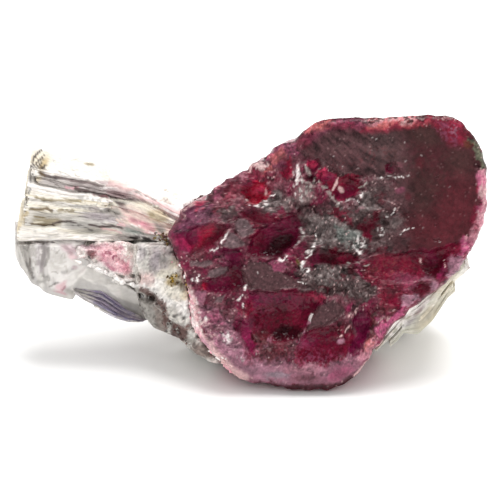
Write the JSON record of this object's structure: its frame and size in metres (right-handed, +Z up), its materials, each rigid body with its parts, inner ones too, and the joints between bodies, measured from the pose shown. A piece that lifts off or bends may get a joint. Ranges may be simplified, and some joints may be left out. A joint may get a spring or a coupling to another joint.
{
  "type": "tourmaline specimen",
  "caption": "Dark red tourmaline crystal with a rough broken face, leaning on white feldspar that runs out to one side in sheets, with clear quartz and purple mica.",
  "frame": {"origin": "under the middle of the box round the specimen, on the surface it rests on", "axes": "+X to the right along the specimen's length, +Z up, and the broken crystal face looks along -Y and leans back"},
  "size_m": [0.0534, 0.0278, 0.028],
  "materials": {
    "rubellite": "dark crimson, glassy in the pits and frosted grey-mauve on the worn plates",
    "albite": "white to cream, satin on its cleavages, with grey, pink and rusty patches",
    "cleavelandite": "pearly white sheets with grey-mauve and olive stains along their edges",
    "quartz": "clear and slightly smoky, polished by nature",
    "lepidolite": "silky purple mica",
    "pink_tourmaline": "pale pink, granular, with a few dark red grains"
  },
  "bodies": {
    "root": {"tourmaline_crystal": "rubellite", "albite_matrix": "albite", "cleavelandite_blades": "cleavelandite", "quartz": "quartz", "lepidolite_sheaf": "lepidolite", "pink_tourmaline_nest": "pink_tourmaline"}
  },
  "joints": []
}
